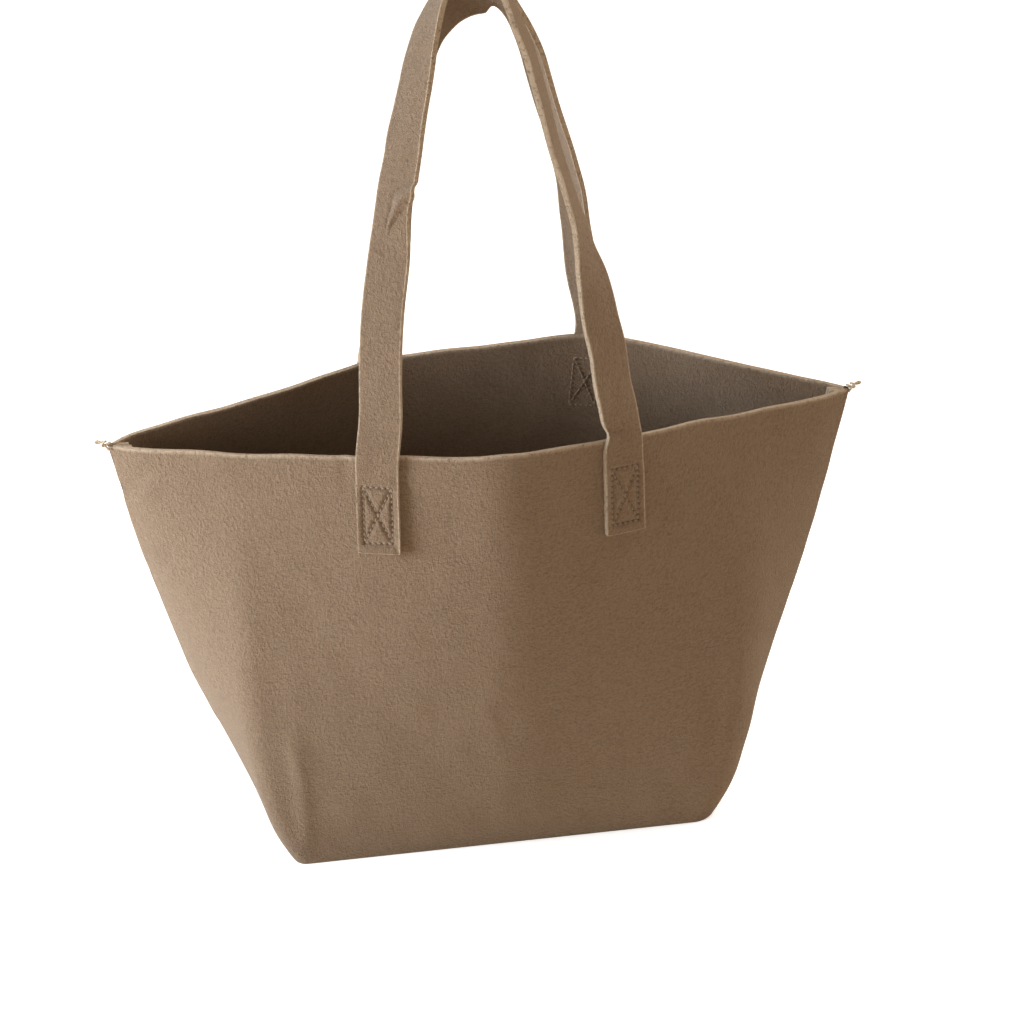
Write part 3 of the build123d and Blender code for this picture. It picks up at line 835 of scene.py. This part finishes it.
def on_strap(side, hand, a, b, lift):
    """Point of a sewn end's outer face at a across and b along from the middle of its box."""
    line, _, normal, across, at = STRAPS[side]
    s = b + BOX_MIDDLE
    s = s if hand == LEFT else at[-1] - s
    k = int(np.clip(np.searchsorted(at, s), 0, len(at) - 1))
    return line[k] + across[k] * a + normal[k] * (STRAP_THICK / 2 + lift), normal[k]


THREAD_SUNK = 0.75 * MM           # the box stitches are drawn this far into the strap
THREAD_DEPTH = STRAP_THICK + FELT - 0.55 * MM     # from a box stitch to the same stitch inside the bag


def box_stitches(side, hand):
    """Box-and-cross stitching: seen outside on the strap, and again inside on the panel."""
    outside, inside = [], []
    for start, end in box_rows():
        p, out = on_strap(side, hand, *start, -THREAD_SUNK)
        q, _ = on_strap(side, hand, *end, -THREAD_SUNK)
        outside.append((p, q, out))
        inside.append((p - out * THREAD_DEPTH, q - out * THREAD_DEPTH, -out))
    return stitch_tubes(f"{PLACE[side]}_{HAND[hand]}_stitching", outside + inside, THREAD_LOOK, THREAD / 2)


SEAM_START = 16 * MM              # a side seam's stitches start this far above the ground
SEAM_STOP = 5 * MM                # and stop this far below the mouth's corner


def side_seam_stitches(hand):
    """Stitches of the side seam on both turned-in allowances."""
    stitches = []
    for side in (FRONT, BACK):
        outer, _ = WALLS[side]
        seam = outer[:, 0 if hand == LEFT else -1]
        for z in np.arange(SEAM_START, RIM - CORNER_DROP - SEAM_STOP, STITCH_PITCH):
            ends = []
            for level in (z, z + STITCH_PITCH * STITCH_SHARE):
                x = np.interp(level, seam[:, 2], seam[:, 0]) - hand * (FELT + ALLOWANCE * 0.72)
                ends.append((x, side * PRESSED_FELT, level))
            stitches.append((*ends, (0, side, 0)))
    return stitch_tubes(f"{HAND[hand]}_side_seam_stitches", stitches, THREAD_LOOK, THREAD / 2)


def base_seam_stitches(name, first, last, sides):
    """Stitches of the base seam on the inner face of the turned-up edge."""
    stitches = []
    z = BASE_SEAM_HEIGHT
    for side in sides:
        us = np.linspace(first, last, 400)
        row = wall(side, us, np.array([z / RIM, z / RIM + 0.01]))
        n = outward(row, side)[0]
        n[:, 2] = 0
        n = unit(n)
        line = row[0] - n * (2 * FELT + BASE_GAP)
        line[:, 2] = z
        walk = np.concatenate([[0], np.cumsum(np.linalg.norm(np.diff(line, axis=0), axis=1))])
        for s in np.arange(0, walk[-1] - STITCH_PITCH, STITCH_PITCH):
            ends = [np.array([np.interp(v, walk, line[:, k]) for k in range(3)])
                    for v in (s, s + STITCH_PITCH * STITCH_SHARE)]
            out = -np.array([np.interp(s, walk, n[:, k]) for k in range(3)])
            stitches.append((*ends, out))
    return stitch_tubes(f"base_{name}_stitches", stitches, THREAD_LOOK, THREAD / 2)


def thread_tube(name, route, radius, look):
    """A short loose thread along a few points."""
    curve = bpy.data.curves.new(name, "CURVE")
    curve.dimensions = "3D"
    curve.bevel_depth = radius
    curve.bevel_resolution = 3
    curve.use_fill_caps = True
    spline = curve.splines.new("NURBS")
    spline.points.add(len(route) - 1)
    for point, place in zip(spline.points, route):
        point.co = (*place, 1)
    spline.order_u = 3
    spline.use_endpoint_u = True
    source = bpy.data.objects.new(name + "_curve", curve)
    bpy.context.scene.collection.objects.link(source)
    mesh = bpy.data.meshes.new_from_object(source.evaluated_get(bpy.context.evaluated_depsgraph_get()))
    bpy.data.objects.remove(source)
    mesh.polygons.foreach_set("use_smooth", [True] * len(mesh.polygons))
    mesh.materials.clear()
    mesh.materials.append(look)
    piece = bpy.data.objects.new(name, mesh)
    bpy.context.scene.collection.objects.link(piece)
    return piece


# way of the knot's thread: outwards along the mouth, back and up from its middle, in millimetres
KNOT_ROUTE = ((-3.4, -1.4, -4.6), (-1.8, -1.5, -1.8), (0.2, -0.7, 0.5), (2.6, -0.2, 1.9), (4.2, 0, 2.2),
              (5.0, 0.1, 1.3), (4.2, 0.4, 0.3), (1.9, 0.6, 0.1), (-0.6, 0.8, 0.6), (-2.4, 0.2, 1.3),
              (-1.7, -1.0, 2.0), (-0.2, -1.5, 0.9), (0.7, -1.6, -0.8), (0.1, -1.2, -1.9), (-2.2, -0.9, -0.6),
              (-5.2, -0.6, 0.9))


KNOT_LIFT = 6 * MM                # the knot has pulled up to the mouth's corner
KNOT_THREAD = 0.75 * MM


def seam_knot(hand):
    """Back-tacked knot on the mouth's corner, with its cut thread tails."""
    low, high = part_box(f"{HAND[hand]}_seam_knot")
    centre = np.array((low + high) / 2) + np.array([0, 0, KNOT_LIFT])
    route = [centre + np.array([hand * out, forward, up]) * MM for out, forward, up in KNOT_ROUTE]
    return thread_tube(f"{HAND[hand]}_thread_knot", route, KNOT_THREAD, PALE_THREAD_LOOK)


# ---- put it together ----------------------------------------------------------------------------
def fit_out(piece, slot_name, *nodes):
    """Hides the CAD nodes that a piece stands for and returns the piece; slot_name is not used."""
    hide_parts(*nodes)
    return piece


def build_bag():
    for side in (FRONT, BACK):
        panel = fit_out(felt_panel(side), "felt", f"{PLACE[side]}_panel")
        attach(panel, "bag")
    base = fit_out(base_sheet(), "felt", "base_panel")
    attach(base, "bag")
    for hand in (LEFT, RIGHT):
        seam = fit_out(side_seam_stitches(hand), "thread", f"{HAND[hand]}_side_seam_thread")
        knot = fit_out(seam_knot(hand), "thread", f"{HAND[hand]}_seam_knot")
        short = fit_out(base_seam_stitches(HAND[hand], *SHORT_SEAM[hand], (FRONT, BACK)), "thread",
                        f"base_seam_thread_{HAND[hand]}")
        for piece in (seam, knot, short):
            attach(piece, "bag")
    for side in (FRONT, BACK):
        long = fit_out(base_seam_stitches(PLACE[side], *LONG_SEAM, (side,)), "thread",
                       f"base_seam_thread_{PLACE[side]}")
        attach(long, "bag")


def build_handles():
    for side in (FRONT, BACK):
        name = PLACE[side]
        strap = fit_out(strap_handle(side), "felt", f"{name}_handle_loop", f"{name}_left_handle_end",
                        f"{name}_right_handle_end")
        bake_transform(strap)
        for hand in (LEFT, RIGHT):
            stitching = fit_out(box_stitches(side, hand), "thread", f"{name}_{HAND[hand]}_box_stitching")
            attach(stitching, "bag")


# ---- floor and light ----------------------------------------------------------------------------
AMBIENT = 0.26
FLOOR_HALF = 6.0
FLOOR_DROP = 0.2 * MM


def floor_material():
    """Pale studio paper; it glows a little towards the camera only, so it stays near white."""
    material = bpy.data.materials.new("studio_floor")
    material.use_nodes = True
    tree = material.node_tree
    tree.nodes.clear()
    out = tree.nodes.new("ShaderNodeOutputMaterial")
    paper = node(tree, "ShaderNodeBsdfDiffuse", Color=(0.80, 0.70, 0.58, 1))
    seen = node(tree, "ShaderNodeBsdfDiffuse", Color=(0.80, 0.80, 0.80, 1))
    glow = node(tree, "ShaderNodeEmission", Color=(1, 1, 1, 1), Strength=0.55)
    both = tree.nodes.new("ShaderNodeAddShader")
    rays = tree.nodes.new("ShaderNodeLightPath")
    mix = tree.nodes.new("ShaderNodeMixShader")
    tree.links.new(seen.outputs[0], both.inputs[0])
    tree.links.new(glow.outputs[0], both.inputs[1])
    tree.links.new(rays.outputs["Is Camera Ray"], mix.inputs["Fac"])
    tree.links.new(paper.outputs[0], mix.inputs[1])
    tree.links.new(both.outputs[0], mix.inputs[2])
    tree.links.new(mix.outputs[0], out.inputs["Surface"])
    return material


def floor():
    size = FLOOR_HALF
    corners = [(-size, -size, 0), (size, -size, 0), (size, size, 0), (-size, size, 0)]
    piece = mesh_piece("studio_floor", corners, [(0, 1, 2, 3)], floor_material(), smooth=False)
    piece.location.z = -FLOOR_DROP


def area_light(name, place, target, size, power, colour):
    """A large soft box near the bag."""
    data = bpy.data.lights.new(name, "AREA")
    data.shape = "DISK"
    data.size = size
    data.energy = power
    data.color = colour
    lamp = bpy.data.objects.new(name, data)
    bpy.context.scene.collection.objects.link(lamp)
    lamp.location = place
    lamp.rotation_mode = "QUATERNION"
    lamp.rotation_quaternion = (Vector(target) - Vector(place)).to_track_quat("-Z", "Y")


def sun(name, travel, strength, softness, colour):
    """Even light from a far soft box; travel is the way the light goes."""
    data = bpy.data.lights.new(name, "SUN")
    data.energy = strength
    data.angle = math.radians(softness)
    data.color = colour
    lamp = bpy.data.objects.new(name, data)
    bpy.context.scene.collection.objects.link(lamp)
    lamp.rotation_mode = "QUATERNION"
    lamp.rotation_quaternion = Vector(travel).to_track_quat("-Z", "Y")


def world_light():
    """Soft pale surroundings; the backdrop that the camera sees is plain white."""
    world = bpy.data.worlds.new("studio")
    bpy.context.scene.world = world
    world.use_nodes = True
    tree = world.node_tree
    tree.nodes.clear()
    out = tree.nodes.new("ShaderNodeOutputWorld")
    seen = node(tree, "ShaderNodeBackground", Color=(1, 1, 1, 1), Strength=1.0)
    soft = node(tree, "ShaderNodeBackground", Color=(1.0, 0.83, 0.64, 1), Strength=AMBIENT)
    rays = tree.nodes.new("ShaderNodeLightPath")
    mix = tree.nodes.new("ShaderNodeMixShader")
    tree.links.new(rays.outputs["Is Camera Ray"], mix.inputs["Fac"])
    tree.links.new(soft.outputs[0], mix.inputs[1])
    tree.links.new(seen.outputs[0], mix.inputs[2])
    tree.links.new(mix.outputs[0], out.inputs["Surface"])


def light_studio():
    floor()
    world_light()
    area_light("key", (-1.20, -0.18, 0.50), (0, 0, 0.22), 0.60, 26, (0.85, 0.935, 1.0))
    sun("front", (-0.40, 0.80, -0.25), 0.55, 60, (1.0, 0.84, 0.66))
    sun("behind", (-0.50, -0.30, -0.80), 2.7, 40, (1.0, 0.90, 0.78))


build_bag()
build_handles()
light_studio()
bpy.context.scene.view_settings.view_transform = "Standard"
